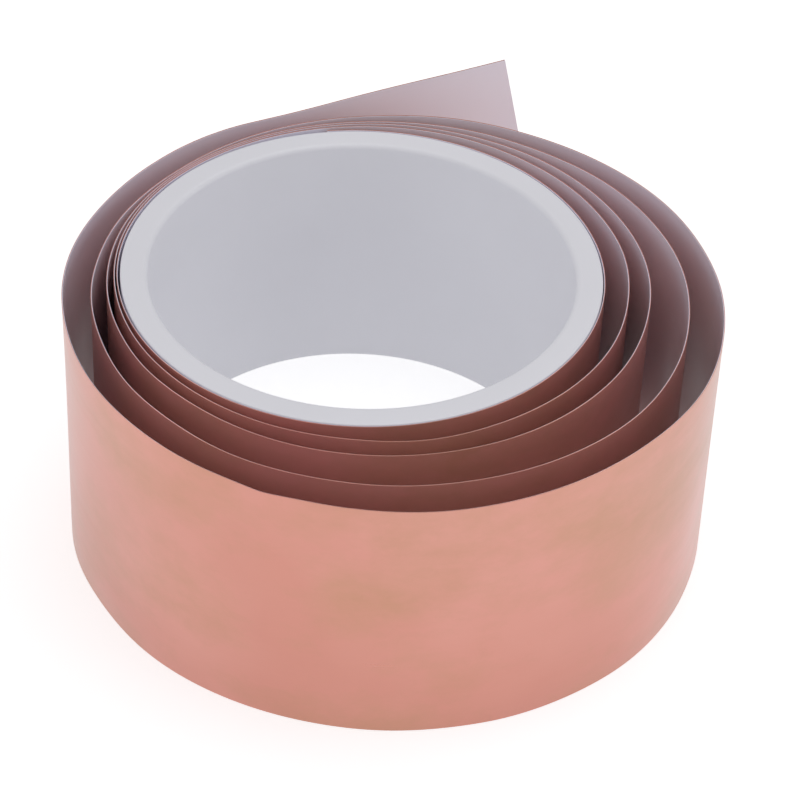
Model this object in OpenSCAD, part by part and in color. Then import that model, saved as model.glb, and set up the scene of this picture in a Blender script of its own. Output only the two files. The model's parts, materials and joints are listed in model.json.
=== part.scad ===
// Roll of wide copper foil tape, standing on its edge, wound loosely on a plastic core.
// The tape is a laminate: copper foil outside, adhesive behind it, release liner inside.
// Seen from above, the tape runs clockwise from its inner end on the core to its free tail.
// Origin: on the core's axis, halfway up. +Z is up, along the core.

/* [Core] */
// Radius of the core's bore, a 3 inch winding core
bore_r = 38.1; // [25:0.1:77]
// Wall thickness of the core
core_wall = 4.9; // [2.5:0.1:12]
// Height of the core
core_h = 50.8; // [24:0.1:150]
// Radius of the rounding where the bore meets each end face
core_round = 1; // [0.3:0.1:2]

/* [Tape] */
// Width of the tape, which is its height as it stands
tape_w = 50.8; // [24:0.1:150]
// Thickness of the copper foil
foil_t = 0.06; // [0.03:0.01:0.2]
// Thickness of the adhesive
adhesive_t = 0.04; // [0.02:0.01:0.1]
// Thickness of the release liner
liner_t = 0.12; // [0.03:0.01:0.3]
// How far the adhesive and the liner stop short of the foil's two long edges
edge_setback = 0.1; // [0.05:0.05:1]

/* [Coil] */
// Direction of the side where the turns spread apart, in degrees from +X
loose_dir = 320; // [0:5:355]
// Arc of the innermost tape that lies along the core before the first snug side
start_arc = 320; // [185:5:330]
// Air inside each turn at the loose side, from the core outwards
loose_gaps = [0.2, 4.45, 3.9, 8.2, 6.05]; // [0.2:0.05:15]
// Air inside each turn at the snug side, from the core outwards
snug_gaps = [0.4, 0.2, 0.2, 0.2, 4.6]; // [0.2:0.05:15]
// How late each turn's air opens, going out from its snug side to its loose side
swing_out = [0.8, 1.15, 2, 0.8]; // [0.5:0.05:2]
// How early each turn's air closes, going on from its loose side to its snug side
swing_in = [1, 1.7, 0.9, 0.7, 0.85]; // [0.5:0.05:2]

/* [Tail] */
// Arc from the last snug side to where the straight tail leaves the coil
exit_arc = 23; // [5:1:60]
// Length of the tail along its top edge
tail_len = 55; // [40:1:120]
// Slant of the cut across the tail's end, from square
cut_slant = 13; // [0:1:30]
// Distance along the tail to its first bend line
first_bend = 3; // [1:0.5:8]
// Distance from the last bend line to the loose corner of the liner
last_bend_gap = 6; // [1:0.5:8]
// Width of the slit that leaves each bend line and fold line free to move
bend_slit = 0.3; // [0.2:0.05:0.5]
// Length of the loose liner corner along the tail's top edge
corner_along = 12; // [6:0.5:14]
// Depth of the loose liner corner below the tail's top edge
corner_down = 16; // [6:0.5:20]

/* [Hidden] */
FOIL = [0.82, 0.58, 0.52];
ADHESIVE = [0.80, 0.72, 0.70];
LINER = [0.52, 0.27, 0.25];
CORE = [0.86, 0.86, 0.90];

// Facets of the core's circles and of its rounded edges
core_facets = 128;
round_facets = 48;
// Largest step between points along the coil, in degrees
coil_step = 5;

core_r = bore_r + core_wall;
snug_dir = loose_dir - 180;
exit_dir = snug_dir - exit_arc;

// Depth of each layer's two faces below the tape's outer face
foil_depth = [0, foil_t];
adhesive_depth = [foil_t, foil_t + adhesive_t];
liner_depth = [foil_t + adhesive_t, foil_t + adhesive_t + liner_t];
tape_t = liner_depth[1];

foil_half = tape_w / 2;
inner_half = tape_w / 2 - edge_setback;

// Winding angle: 0 at the first loose side, rising outwards, 180 at the first snug side
last_turn = len(snug_gaps) - 1;
first_angle = 180 - start_arc;
last_snug_angle = 180 + 360 * last_turn;
last_angle = last_snug_angle + exit_arc;

// The air inside a turn swings between its snug value and its loose value
function swing(snug, loose, angle, power) =
    snug + (loose - snug) * pow((1 - cos(angle)) / 2, power);
function air(angle) =
    let (half = ceil(angle / 180) - 1, k = floor(half / 2))
    half % 2 == 0
        ? swing(snug_gaps[k], loose_gaps[k], angle - 180, swing_in[k])
        : swing(snug_gaps[k], loose_gaps[k + 1], angle - 180, swing_out[k]);

// Outer face at a winding angle: each turn lies outside the turn before it, and
// the first one leaves the core to pass over the tape's inner end
start_r = core_r + tape_t + loose_gaps[0];
first_snug_r = core_r + tape_t + snug_gaps[0];
function tape_r(angle) =
    angle <= 0 ? start_r :
    angle <= 180 ? core_r + tape_t + air(angle) :
    angle < 360 ? swing(first_snug_r, start_r + tape_t + loose_gaps[1], angle - 180, swing_out[0]) :
    angle > last_snug_angle ? tape_r(last_snug_angle) :
    tape_r(angle - 360) + tape_t + air(angle);

exit_r = tape_r(last_angle);

function coil_point(angle, depth) =
    let (r = tape_r(angle) - depth, dir = loose_dir - angle)
    [r * cos(dir), r * sin(dir)];

// Places along the straight tail, from where it leaves the coil
heading = exit_dir - 90;
function tail_point(x, depth) =
    let (y = exit_r - depth)
    [x * cos(heading) - y * sin(heading), x * sin(heading) + y * cos(heading)];
tail_count = 3;
bend_step = (tail_len - corner_along - last_bend_gap - first_bend) / (tail_count - 1);
function bend_x(k) = first_bend + (k - 1) * bend_step;
function cut_x(z) = tail_len + (foil_half - z) * tan(cut_slant);
corner_z = foil_half - corner_down;
fold_slope = (cut_x(corner_z) - cut_x(foil_half) + corner_along) / corner_down;
function fold_x(z) = tail_len - corner_along + (foil_half - z) * fold_slope;
fold_gap = bend_slit / 2 * sqrt(1 + fold_slope * fold_slope);

// White plastic ring with a rounded edge at each end of its bore
module core() {
    straight = core_h - 2 * core_round;
    color(CORE)
        rotate_extrude($fn = core_facets) {
            translate([bore_r + core_round, -core_h / 2]) square([core_wall - core_round, core_h]);
            translate([bore_r, -straight / 2]) square([core_wall, straight]);
            for (side = [-1, 1])
                translate([bore_r + core_round, side * straight / 2])
                    circle(core_round, $fn = round_facets);
        }
}

// One layer of the wound tape, as a spiral wall between two depths: it ends in
// the short straight piece that leads to the tail's first bend line
module coil_layer(depth, half_w) {
    steps = ceil((last_angle - first_angle) / coil_step);
    angles = [for (i = [0 : steps]) first_angle + (last_angle - first_angle) * i / steps];
    end = bend_x(1) - bend_slit / 2;
    outer_face = [for (a = angles) coil_point(a, depth[0])];
    inner_face = [for (i = [steps : -1 : 0]) coil_point(angles[i], depth[1])];
    straight_end = [tail_point(end, depth[0]), tail_point(end, depth[1])];
    translate([0, 0, -half_w])
        linear_extrude(2 * half_w)
            polygon(concat(outer_face, straight_end, inner_face));
}

// One layer of the straight tail: an outline in the tail's own plane, between two depths
module tail_layer(depth, outline) {
    rotate([0, 0, heading])
        translate([0, exit_r - depth[0], 0])
            rotate([90, 0, 0])
                linear_extrude(depth[1] - depth[0])
                    polygon(outline);
}

// Outline of the tail between its bend lines k and k + 1, or out to the cut end
function tail_outline(k, half_w) =
    let (start = bend_x(k) + bend_slit / 2, end = bend_x(k + 1) - bend_slit / 2)
    k < tail_count
        ? [[start, -half_w], [end, -half_w], [end, half_w], [start, half_w]]
        : [[start, -half_w], [cut_x(-half_w), -half_w], [cut_x(half_w), half_w], [start, half_w]];

module foil_coil() {
    color(FOIL) coil_layer(foil_depth, foil_half);
}

module adhesive_coil() {
    color(ADHESIVE) coil_layer(adhesive_depth, inner_half);
}

module liner_coil() {
    color(LINER) coil_layer(liner_depth, inner_half);
}

module foil_tail(k) {
    color(FOIL) tail_layer(foil_depth, tail_outline(k, foil_half));
}

module adhesive_tail(k) {
    color(ADHESIVE) tail_layer(adhesive_depth, tail_outline(k, inner_half));
}

module liner_tail(k) {
    color(LINER) tail_layer(liner_depth, tail_outline(k, inner_half));
}

// Last stretch of liner, which ends at the fold line of its loose corner
module liner_tail_end() {
    top = inner_half;
    color(LINER)
        tail_layer(liner_depth, [
            [bend_x(tail_count) + bend_slit / 2, -top],
            [cut_x(-top), -top],
            [cut_x(corner_z), corner_z],
            [fold_x(corner_z) - fold_gap, corner_z],
            [fold_x(top) - fold_gap, top],
            [bend_x(tail_count) + bend_slit / 2, top]]);
}

// Top corner of the liner, free to be peeled back from the adhesive
module liner_corner() {
    top = inner_half;
    low = corner_z + fold_gap / (fold_slope - tan(cut_slant));
    color(LINER)
        tail_layer(liner_depth, [
            [fold_x(top) + fold_gap, top],
            [cut_x(low), low],
            [cut_x(top), top]]);
}

core();
foil_coil();
adhesive_coil();
liner_coil();
foil_tail(1);  // foil_tail_1
adhesive_tail(1);  // adhesive_tail_1
liner_tail(1);  // liner_tail_1
foil_tail(2);  // foil_tail_2
adhesive_tail(2);  // adhesive_tail_2
liner_tail(2);  // liner_tail_2
foil_tail(3);  // foil_tail_3
adhesive_tail(3);  // adhesive_tail_3
liner_tail_end();  // liner_tail_3
liner_corner();
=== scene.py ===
"""Copper foil tape roll: the looks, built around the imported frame.

The tape stands on its edge, loosely wound on a white plastic core. It is a laminate of copper
foil, adhesive and a glossy release liner, and each layer is a thin closed strip here.
Lengths are in metres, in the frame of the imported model: the core's axis is Z, and the origin
is halfway up the core.
"""

import json
import math

import bpy
from mathutils import Matrix, Vector, noise


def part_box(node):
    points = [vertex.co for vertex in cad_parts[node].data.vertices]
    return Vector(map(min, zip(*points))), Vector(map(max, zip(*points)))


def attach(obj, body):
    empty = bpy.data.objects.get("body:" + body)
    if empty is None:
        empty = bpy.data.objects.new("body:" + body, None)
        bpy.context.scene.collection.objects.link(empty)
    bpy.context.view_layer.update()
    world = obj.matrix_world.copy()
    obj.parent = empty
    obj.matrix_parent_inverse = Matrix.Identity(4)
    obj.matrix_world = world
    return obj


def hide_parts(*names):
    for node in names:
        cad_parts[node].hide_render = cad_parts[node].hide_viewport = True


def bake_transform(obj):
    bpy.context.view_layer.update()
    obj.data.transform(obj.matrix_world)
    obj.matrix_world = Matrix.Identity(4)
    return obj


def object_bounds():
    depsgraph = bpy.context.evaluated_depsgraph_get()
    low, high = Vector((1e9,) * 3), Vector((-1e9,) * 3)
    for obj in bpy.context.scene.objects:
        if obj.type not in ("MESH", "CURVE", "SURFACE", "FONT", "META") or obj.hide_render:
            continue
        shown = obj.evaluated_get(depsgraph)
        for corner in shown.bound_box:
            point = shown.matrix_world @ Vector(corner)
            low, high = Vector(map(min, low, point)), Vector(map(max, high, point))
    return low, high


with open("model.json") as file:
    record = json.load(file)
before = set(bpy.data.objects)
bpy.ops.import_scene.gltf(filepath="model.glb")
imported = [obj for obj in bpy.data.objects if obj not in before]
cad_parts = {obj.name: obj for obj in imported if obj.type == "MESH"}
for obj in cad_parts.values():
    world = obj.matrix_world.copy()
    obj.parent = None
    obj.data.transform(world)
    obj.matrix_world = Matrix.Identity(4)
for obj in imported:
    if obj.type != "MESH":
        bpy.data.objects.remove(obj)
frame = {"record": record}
cad_low, cad_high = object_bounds()

MM = 0.001
UP = Vector((0, 0, 1))

# ---------------------------------------------------------------- sizes from the frame
core_low, core_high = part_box("core")
CORE_R = (core_high.y - core_low.y) / 2
CORE_HALF = (core_high.z - core_low.z) / 2
BORE_R = frame["record"]["mounts"][0]["dims"]["r_mm"] * MM
FOIL_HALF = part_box("foil_coil")[1].z
INNER_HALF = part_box("liner_coil")[1].z
FLOOR_Z = cad_low.z

# ---------------------------------------------------------------- the tape, as the frame has it
FOIL_T = 0.06 * MM
ADHESIVE_T = 0.04 * MM
LINER_T = 0.12 * MM
TAPE_T = FOIL_T + ADHESIVE_T + LINER_T

LOOSE_DIR = 320
START_ARC = 320
LOOSE_GAPS = [0.2 * MM, 4.45 * MM, 3.9 * MM, 8.2 * MM, 6.05 * MM]
SNUG_GAPS = [0.4 * MM, 0.2 * MM, 0.2 * MM, 0.2 * MM, 4.6 * MM]
SWING_OUT = [0.8, 1.15, 2, 0.8]
SWING_IN = [1, 1.7, 0.9, 0.7, 0.85]
EXIT_ARC = 23
TAIL_LEN = 55 * MM
CUT_SLANT = math.radians(13)
FIRST_BEND = 3 * MM
BEND_STEP = 17 * MM
CORNER_ALONG = 12 * MM
CORNER_DOWN = 16 * MM

FIRST_ANGLE = 180 - START_ARC
LAST_TURN = len(SNUG_GAPS) - 1
LAST_SNUG = 180 + 360 * LAST_TURN
LAST_ANGLE = LAST_SNUG + EXIT_ARC
START_R = CORE_R + TAPE_T + LOOSE_GAPS[0]


def swing(snug, loose, angle, power):
    share = (1 - math.cos(math.radians(angle))) / 2
    return snug + (loose - snug) * share**power


def air(angle):
    """Air inside the tape at a winding angle, between its snug and its loose value."""
    half = math.ceil(angle / 180) - 1
    turn = half // 2
    if half % 2 == 0:
        return swing(SNUG_GAPS[turn], LOOSE_GAPS[turn], angle - 180, SWING_IN[turn])
    return swing(SNUG_GAPS[turn], LOOSE_GAPS[turn + 1], angle - 180, SWING_OUT[turn])


def tape_r(angle):
    """Radius of the tape's outer face at a winding angle, as in the frame."""
    if angle <= 0:
        return START_R
    if angle <= 180:
        return CORE_R + TAPE_T + air(angle)
    if angle < 360:
        first_snug = CORE_R + TAPE_T + SNUG_GAPS[0]
        return swing(first_snug, START_R + TAPE_T + LOOSE_GAPS[1], angle - 180, SWING_OUT[0])
    if angle > LAST_SNUG:
        return tape_r(LAST_SNUG)
    return tape_r(angle - 360) + TAPE_T + air(angle)


EXIT_R = tape_r(LAST_ANGLE)
EXIT_DIR = math.radians(LOOSE_DIR - LAST_ANGLE)
OUTWARD = Vector((math.cos(EXIT_DIR), math.sin(EXIT_DIR), 0))
ALONG = Vector((math.sin(EXIT_DIR), -math.cos(EXIT_DIR), 0))

# ---------------------------------------------------------------- unevenness of the real tape
# Most that the tape waves in and out, and the share of the air beside it that it may use
WAVE_MAX = 0.45 * MM
WAVE_SHARE = 0.25
WAVE_LENGTH = 24 * MM
# The waves are longer up the tape than along it
WAVE_UPRIGHT = 0.45
# Upright crease in the outer turn, which fades out towards the bottom edge: its direction
# from +X, the straight stretch on each side of it, and its rounding
CREASE_DIR = 256
CREASE_REACH = 9 * MM
CREASE_ROUND = 1.2 * MM
CREASE_ANGLE = LOOSE_DIR - CREASE_DIR + 360 * LAST_TURN
# The foil's edges are rolled slightly inwards by the slitting knife
ROLL_HEIGHT = 0.09 * MM
ROLL_IN = 0.035 * MM
ROLL_ROWS = 3


def room(angle):
    """Air on the tighter side of the tape at a winding angle."""
    inside = tape_r(angle - 360) if angle - 360 > FIRST_ANGLE else CORE_R
    within = tape_r(angle) - TAPE_T - inside
    if angle + 360 > LAST_ANGLE:
        return within
    return min(within, tape_r(angle + 360) - TAPE_T - tape_r(angle))


def crease(angle):
    """How far the outer turn stands out at its crease, between two straight stretches."""
    radius = tape_r(CREASE_ANGLE)
    along = radius * math.radians(angle - CREASE_ANGLE)
    away = math.hypot(along, CREASE_ROUND) / CREASE_REACH
    return CREASE_REACH**2 / (2 * radius) * max(0, 1 - away) ** 2


class Column:
    """An upright line across the tape: its place, its outward direction and how far it waves."""

    def __init__(self, place, out, offset, wave, turn):
        self.place = place
        self.out = out
        self.offset = offset
        self.wave = wave
        self.turn = turn

    def point(self, z, depth):
        where = Vector((self.place.x, self.place.y, WAVE_UPRIGHT * z)) / WAVE_LENGTH
        waving = self.wave * noise.noise(where + self.turn * UP)
        standing_out = self.offset * (0.5 + 0.5 * z / FOIL_HALF)
        return self.place + self.out * (standing_out + waving - depth) + UP * z


def coil_column(angle):
    direction = math.radians(LOOSE_DIR - angle)
    out = Vector((math.cos(direction), math.sin(direction), 0))
    wave = min(WAVE_MAX, WAVE_SHARE * room(angle))
    return Column(out * tape_r(angle), out, crease(angle), wave, angle / 60)


def tail_column(x):
    return Column(OUTWARD * EXIT_R + ALONG * x, OUTWARD, 0, WAVE_MAX, LAST_ANGLE / 60)


def spread(start, end, steps):
    return [start + (end - start) * i / steps for i in range(steps + 1)]


# ---------------------------------------------------------------- camera, floor and light
CAMERA_ELEVATION = 0.6518
CAMERA_DISTANCE = 12.44 * CORE_R
CAMERA_PAN = 0.0141
CAMERA_TILT = -0.0432
CAMERA_ROLL = 0.0346
# Focal length and sensor width, in millimetres
LENS = 135
SENSOR = 36

FLOOR_REACH = 3.0
FLOOR_GREY = 0.72
# How strongly the floor glows on the object, and how strongly the camera sees it glow
GLOW_ON_OBJECT = 0.32
GLOW_TO_CAMERA = 0.6
STUDIO_LIGHT = 0.46
SOFTBOX = (1.0, 1.0)


def make_camera():
    forward = Vector((0, math.cos(CAMERA_ELEVATION), -math.sin(CAMERA_ELEVATION)))
    right = Vector((1, 0, 0))
    up = right.cross(forward)
    aim = (forward + math.tan(CAMERA_PAN) * right + math.tan(CAMERA_TILT) * up).normalized()
    right = aim.cross(up).normalized()
    up = right.cross(aim)
    rolled_right = math.cos(CAMERA_ROLL) * right + math.sin(CAMERA_ROLL) * up
    rolled_up = math.cos(CAMERA_ROLL) * up - math.sin(CAMERA_ROLL) * right
    data = bpy.data.cameras.new("camera")
    data.lens = LENS
    data.sensor_width = SENSOR
    data.clip_start = 0.01
    camera = bpy.data.objects.new("camera", data)
    turn = Matrix((rolled_right, rolled_up, -aim)).transposed().to_4x4()
    camera.matrix_world = Matrix.Translation(UP * CORE_HALF - forward * CAMERA_DISTANCE) @ turn
    bpy.context.scene.collection.objects.link(camera)
    bpy.context.scene.camera = camera


def make_floor():
    reach = FLOOR_REACH
    corners = [(-reach, -reach), (reach, -reach), (reach, reach), (-reach, reach)]
    mesh = bpy.data.meshes.new("floor")
    mesh.from_pydata([(x, y, FLOOR_Z) for x, y in corners], [], [(0, 1, 2, 3)])
    floor = bpy.data.objects.new("floor", mesh)
    bpy.context.scene.collection.objects.link(floor)
    material = bpy.data.materials.new("pale_floor")
    material.use_nodes = True
    shader = material.node_tree.nodes["Principled BSDF"]
    shader.inputs["Base Color"].default_value = (FLOOR_GREY, FLOOR_GREY, FLOOR_GREY, 1)
    shader.inputs["Roughness"].default_value = 0.7
    # A lit sweep: it glows a little on the object, and looks white to the camera
    seen = material.node_tree.nodes.new("ShaderNodeLightPath")
    camera_sees = seen.outputs["Is Camera Ray"]
    glow = map_range(material.node_tree, camera_sees, GLOW_ON_OBJECT, GLOW_TO_CAMERA, 0, 1)
    material.node_tree.links.new(glow, shader.inputs["Emission Strength"])
    shader.inputs["Emission Color"].default_value = (1, 1, 1, 1)
    mesh.materials.append(material)


def area_light(name, place, size, power):
    data = bpy.data.lights.new(name, "AREA")
    data.shape = "RECTANGLE"
    data.size, data.size_y = size
    data.energy = power
    light = bpy.data.objects.new(name, data)
    light.location = place
    light.rotation_mode = "QUATERNION"
    light.rotation_quaternion = (-Vector(place)).to_track_quat("-Z", "Y")
    bpy.context.scene.collection.objects.link(light)


def make_lights():
    world = bpy.data.worlds.new("studio")
    bpy.context.scene.world = world
    world.use_nodes = True
    world.node_tree.nodes["Background"].inputs["Color"].default_value = (0.98, 0.97, 1, 1)
    world.node_tree.nodes["Background"].inputs["Strength"].default_value = STUDIO_LIGHT
    area_light("key", (-0.5, -0.9, 0.8), SOFTBOX, 1.2)
    area_light("top", (0.3, 0.3, 1.2), SOFTBOX, 3.6)
    area_light("left", (-1.3, -0.2, 0.5), SOFTBOX, 2.4)
    area_light("right", (1.3, -0.2, 0.5), SOFTBOX, 2.4)
    bpy.context.scene.view_settings.view_transform = "Standard"


# ---------------------------------------------------------------- materials
def new_material(name):
    material = bpy.data.materials.new(name)
    material.use_nodes = True
    tree = material.node_tree
    return material, tree, tree.nodes["Principled BSDF"]


def noise_node(tree, scale, detail, stretch=(1, 1, 1), roughness=0.5):
    """Noise in the object's own coordinates, stretched by a mapping."""
    place = tree.nodes.new("ShaderNodeTexCoord")
    mapping = tree.nodes.new("ShaderNodeMapping")
    mapping.inputs["Scale"].default_value = stretch
    texture = tree.nodes.new("ShaderNodeTexNoise")
    texture.inputs["Scale"].default_value = scale
    texture.inputs["Detail"].default_value = detail
    texture.inputs["Roughness"].default_value = roughness
    tree.links.new(place.outputs["Object"], mapping.inputs["Vector"])
    tree.links.new(mapping.outputs["Vector"], texture.inputs["Vector"])
    return texture.outputs["Fac"]


def ramp(tree, value, stops):
    node = tree.nodes.new("ShaderNodeValToRGB")
    elements = node.color_ramp.elements
    while len(elements) < len(stops):
        elements.new(0.5)
    for element, (position, colour) in zip(elements, stops):
        element.position = position
        element.color = (*colour, 1)
    tree.links.new(value, node.inputs["Fac"])
    return node.outputs["Color"]


def map_range(tree, value, low, high, start=0.3, end=0.7):
    node = tree.nodes.new("ShaderNodeMapRange")
    node.inputs["From Min"].default_value = start
    node.inputs["From Max"].default_value = end
    node.inputs["To Min"].default_value = low
    node.inputs["To Max"].default_value = high
    tree.links.new(value, node.inputs["Value"])
    return node.outputs["Result"]


def mix(tree, factor, first, second):
    """Colour that goes from first to second as factor goes from 0 to 1."""
    node = tree.nodes.new("ShaderNodeMix")
    node.data_type = "RGBA"
    tree.links.new(factor, node.inputs["Factor"])
    for socket, colour in ((node.inputs["A"], first), (node.inputs["B"], second)):
        if isinstance(colour, tuple):
            socket.default_value = (*colour, 1)
        else:
            tree.links.new(colour, socket)
    return node.outputs["Result"]


def add(tree, first, second):
    node = tree.nodes.new("ShaderNodeMath")
    node.operation = "ADD"
    tree.links.new(first, node.inputs[0])
    tree.links.new(second, node.inputs[1])
    return node.outputs["Value"]


def bump(tree, shader, height, strength, distance):
    node = tree.nodes.new("ShaderNodeBump")
    node.inputs["Strength"].default_value = strength
    node.inputs["Distance"].default_value = distance
    tree.links.new(height, node.inputs["Height"])
    tree.links.new(node.outputs["Normal"], shader.inputs["Normal"])


def copper_material():
    """Rolled copper foil: satin, with fine streaks along the tape and a little tarnish."""
    material, tree, shader = new_material("copper_foil")
    clouds = noise_node(tree, 20, 3)
    bright = ramp(tree, clouds, [(0.35, (0.79, 0.32, 0.24)), (0.65, (0.87, 0.39, 0.31))])
    tarnish = map_range(tree, noise_node(tree, 26, 6, (1, 1, 1.6), 0.65), 0, 0.8, 0.42, 0.68)
    colour = mix(tree, tarnish, bright, (0.66, 0.32, 0.18))
    tree.links.new(colour, shader.inputs["Base Color"])
    shader.inputs["Metallic"].default_value = 1
    shader.inputs["Coat Weight"].default_value = 1
    shader.inputs["Coat Roughness"].default_value = 0.3
    shader.inputs["Coat IOR"].default_value = 1.7
    streaks = noise_node(tree, 9, 5, (1, 1, 110), 0.7)
    smears = noise_node(tree, 45, 4)
    tree.links.new(
        add(tree, map_range(tree, streaks, 0.25, 0.33), map_range(tree, smears, 0, 0.08)),
        shader.inputs["Roughness"],
    )
    bump(tree, shader, streaks, 0.25, 0.00001)
    return material


def liner_material():
    """Release liner: a smooth pale lilac film with a gloss."""
    material, tree, shader = new_material("release_liner")
    clouds = noise_node(tree, 16, 3)
    colour = ramp(tree, clouds, [(0.35, (0.87, 0.82, 0.95)), (0.65, (0.91, 0.87, 0.97))])
    tree.links.new(colour, shader.inputs["Base Color"])
    streaks = noise_node(tree, 9, 4, (1, 1, 60), 0.6)
    tree.links.new(map_range(tree, streaks, 0.18, 0.24), shader.inputs["Roughness"])
    bump(tree, shader, noise_node(tree, 120, 2), 0.08, 0.00003)
    return material


def adhesive_material():
    """Acrylic adhesive over the copper: glossy, with fine orange peel."""
    material, tree, shader = new_material("adhesive")
    clouds = noise_node(tree, 300, 3)
    colour = ramp(tree, clouds, [(0.3, (0.56, 0.36, 0.29)), (0.7, (0.64, 0.43, 0.35))])
    tree.links.new(colour, shader.inputs["Base Color"])
    shader.inputs["Metallic"].default_value = 0.5
    tree.links.new(map_range(tree, clouds, 0.22, 0.32), shader.inputs["Roughness"])
    bump(tree, shader, clouds, 0.3, 0.00002)
    return material


def core_material():
    """Moulded white plastic, very faintly violet, with a soft mottle."""
    material, tree, shader = new_material("core_plastic")
    clouds = noise_node(tree, 26, 3)
    colour = ramp(tree, clouds, [(0.3, (0.83, 0.83, 0.87)), (0.7, (0.86, 0.86, 0.90))])
    tree.links.new(colour, shader.inputs["Base Color"])
    tree.links.new(map_range(tree, noise_node(tree, 80, 3), 0.32, 0.42), shader.inputs["Roughness"])
    bump(tree, shader, noise_node(tree, 700, 3), 0.12, 0.00002)
    return material


make_camera()
make_floor()
make_lights()

COPPER = copper_material()
LINER = liner_material()
ADHESIVE = adhesive_material()
PLASTIC = core_material()


# ---------------------------------------------------------------- pieces
SHARP_ANGLE = math.radians(40)


def add_mesh(name, points, faces, material):
    mesh = bpy.data.meshes.new(name)
    mesh.from_pydata(points, [], faces)
    mesh.polygons.foreach_set("use_smooth", [True] * len(mesh.polygons))
    mesh.set_sharp_from_angle(angle=SHARP_ANGLE)
    mesh.materials.append(material)
    piece = bpy.data.objects.new(name, mesh)
    bpy.context.scene.collection.objects.link(piece)
    return piece


def strip(name, columns, depth, rows, material, shift=None, roll=None):
    """A closed thin strip over columns of the tape, between two depths below its outer face.

    rows are its heights from the bottom up. shift(index, z) moves a column's point along the
    tail, and roll(z) is how far the layer leans inwards at a height.
    """
    points = []
    for index, column in enumerate(columns):
        for d in depth:
            for z in rows:
                lean = roll(z) if roll else 0
                moved = ALONG * shift(index, z) if shift else Vector()
                points.append(column.point(z, d + lean) + moved)
    count = len(rows)
    around = 2 * count
    faces = []
    for i in range(len(columns) - 1):
        a, b = i * around, (i + 1) * around
        for row in range(count - 1):
            faces.append((b + row, a + row, a + row + 1, b + row + 1))
            inner = count + row
            faces.append((a + inner, b + inner, b + inner + 1, a + inner + 1))
        faces.append((a, b, b + count, a + count))
        faces.append((b + count - 1, a + count - 1, a + around - 1, b + around - 1))
    last = (len(columns) - 1) * around
    for row in range(count - 1):
        inner = count + row
        faces.append((row, inner, inner + 1, row + 1))
        faces.append((last + inner, last + row, last + row + 1, last + inner + 1))
    return add_mesh(name, points, faces, material)


def edge_roll(z):
    """How far the foil leans inwards towards its two long edges."""
    near_edge = max(0, abs(z) - (FOIL_HALF - ROLL_HEIGHT)) / ROLL_HEIGHT
    return ROLL_IN * near_edge**2


def heights(half, steps, rolled):
    """Heights of a strip's rows, with a few more at a rolled edge."""
    if not rolled:
        return spread(-half, half, steps)
    edge = spread(half - ROLL_HEIGHT, half, ROLL_ROWS)
    middle = spread(-half + ROLL_HEIGHT, half - ROLL_HEIGHT, steps)[1:-1]
    return [-z for z in reversed(edge)] + middle + edge


# Each layer's two depths, half width, material, slot and whether its edges are rolled
LAYERS = {
    "foil": ((0, FOIL_T), FOIL_HALF, COPPER, "copper_foil", True),
    "adhesive": ((FOIL_T, FOIL_T + ADHESIVE_T), INNER_HALF, ADHESIVE, "adhesive", False),
    "liner": ((FOIL_T + ADHESIVE_T, TAPE_T), INNER_HALF, LINER, "release_liner", False),
}
COIL_STEPS = 1500
ROW_STEPS = 8
# Arc of the coil that belongs to the tail's first piece, which leaves the coil
ROOT_ARC = 20
# The tail's pieces meet halfway between its bend lines, and the liner's corner piece starts a short
# stretch past the last one
BENDS = [FIRST_BEND + k * BEND_STEP for k in range(3)]
JOINS = [bend + BEND_STEP / 2 for bend in BENDS[:2]]
BEND_REACH = 4 * MM
CORNER_JOIN = BENDS[2] + BEND_REACH
TAIL_STEP = 0.8 * MM


def slant_shift(xs, start):
    """Shift of the tail's points that slants its cut end and leaves its start square."""

    def shift(index, z):
        share = max(0, xs[index] - start) / (TAIL_LEN - start)
        return share * (FOIL_HALF - z) * math.tan(CUT_SLANT)

    return shift


def layer_strip(name, layer, columns, row_steps=ROW_STEPS, shift=None):
    depth, half, material, slot, rolled = LAYERS[layer]
    rows = heights(half, row_steps, rolled)
    piece = strip(name, columns, depth, rows, material, shift, edge_roll if rolled else None)
    return piece


def tail_xs(start, end):
    return spread(start, end, round((end - start) / TAIL_STEP))


def bend_at(piece):
    """Bakes a piece's placement into its mesh."""
    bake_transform(piece)


def make_coil(layer):
    angles = spread(FIRST_ANGLE, LAST_ANGLE - ROOT_ARC, COIL_STEPS)
    piece = layer_strip(layer + "_turns", layer, [coil_column(a) for a in angles])
    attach(piece, "coil")
    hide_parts(layer + "_coil")


def make_tail_root(layer):
    angles = spread(LAST_ANGLE - ROOT_ARC, LAST_ANGLE, ROOT_ARC)
    columns = [coil_column(a) for a in angles[:-1]]
    columns += [tail_column(x) for x in tail_xs(0, JOINS[0])]
    piece = layer_strip(layer + "_tail_root", layer, columns)
    bend_at(piece)
    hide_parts(layer + "_tail_1")


def make_tail_middle(layer):
    columns = [tail_column(x) for x in tail_xs(JOINS[0], JOINS[1])]
    piece = layer_strip(layer + "_tail_middle", layer, columns)
    bend_at(piece)
    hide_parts(layer + "_tail_2")


def make_tail_end(layer, end):
    """The tail from its second join on, out to its cut end or to where the liner's free
    corner piece begins."""
    xs = tail_xs(JOINS[1], end)
    shift = slant_shift(xs, CORNER_JOIN)
    piece = layer_strip(layer + "_tail_end", layer, [tail_column(x) for x in xs], shift=shift)
    bend_at(piece)
    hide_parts(layer + "_tail_3")


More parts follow.
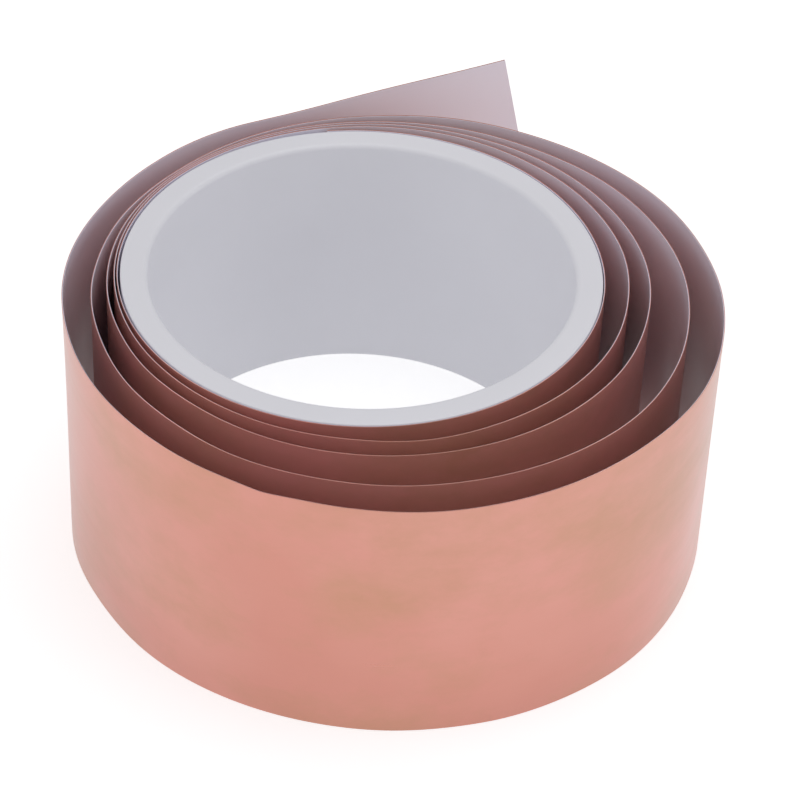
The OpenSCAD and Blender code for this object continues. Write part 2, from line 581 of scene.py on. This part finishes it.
def make_liner_corner():
    """The liner's last stretch, out to its slanted cut end. It works out a slanting fold line
    across its top corner but doesn't fold the corner back.
    """
    # The stretch from the corner join out to the cut end
    xs = tail_xs(CORNER_JOIN, TAIL_LEN)
    row_steps = round(2 * INNER_HALF / TAIL_STEP)
    shift = slant_shift(xs, CORNER_JOIN)
    columns = [tail_column(x) for x in xs]
    piece = layer_strip("liner_tail_corner", "liner", columns, row_steps, shift)
    middle = TAPE_T - LINER_T / 2
    top = tail_column(TAIL_LEN - CORNER_ALONG).point(FOIL_HALF, middle)
    low_x = TAIL_LEN + CORNER_DOWN * math.tan(CUT_SLANT)
    low = tail_column(low_x).point(FOIL_HALF - CORNER_DOWN, middle)
    across = (low - top).cross(OUTWARD).normalized()
    if across.dot(ALONG) < 0:
        across = -across
    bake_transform(piece)
    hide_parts("liner_corner")


def lathe(name, outline, segments, material):
    """A closed ring: outline is a closed loop of (radius, z) points, turned about Z."""
    points, faces = [], []
    for s in range(segments):
        angle = 2 * math.pi * s / segments
        points += [(r * math.cos(angle), r * math.sin(angle), z) for r, z in outline]
    n = len(outline)
    for s in range(segments):
        a, b = s * n, (s + 1) % segments * n
        for i in range(n):
            j = (i + 1) % n
            faces.append((a + i, b + i, b + j, a + j))
    return add_mesh(name, points, faces, material)


def quarter_arc(r, z, radius, start, steps=8):
    """Points of a quarter arc about (r, z), starting at an angle in degrees."""
    return [
        (r + radius * math.cos(angle), z + radius * math.sin(angle))
        for angle in spread(math.radians(start), math.radians(start + 90), steps)
    ]


CORE_SEGMENTS = 256


def make_core():
    bore_round = 1.0 * MM
    outer_round = 0.3 * MM
    inside = BORE_R + bore_round
    outside = CORE_R - outer_round
    outline = (
        quarter_arc(outside, outer_round - CORE_HALF, outer_round, 270)
        + quarter_arc(outside, CORE_HALF - outer_round, outer_round, 0)
        + quarter_arc(inside, CORE_HALF - bore_round, bore_round, 90)
        + quarter_arc(inside, bore_round - CORE_HALF, bore_round, 180)
    )
    piece = lathe("core_ring", outline, CORE_SEGMENTS, PLASTIC)
    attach(piece, "core")
    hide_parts("core")


for layer in LAYERS:
    make_coil(layer)
    make_tail_root(layer)
    make_tail_middle(layer)
    make_tail_end(layer, CORNER_JOIN if layer == "liner" else TAIL_LEN)
make_liner_corner()
make_core()
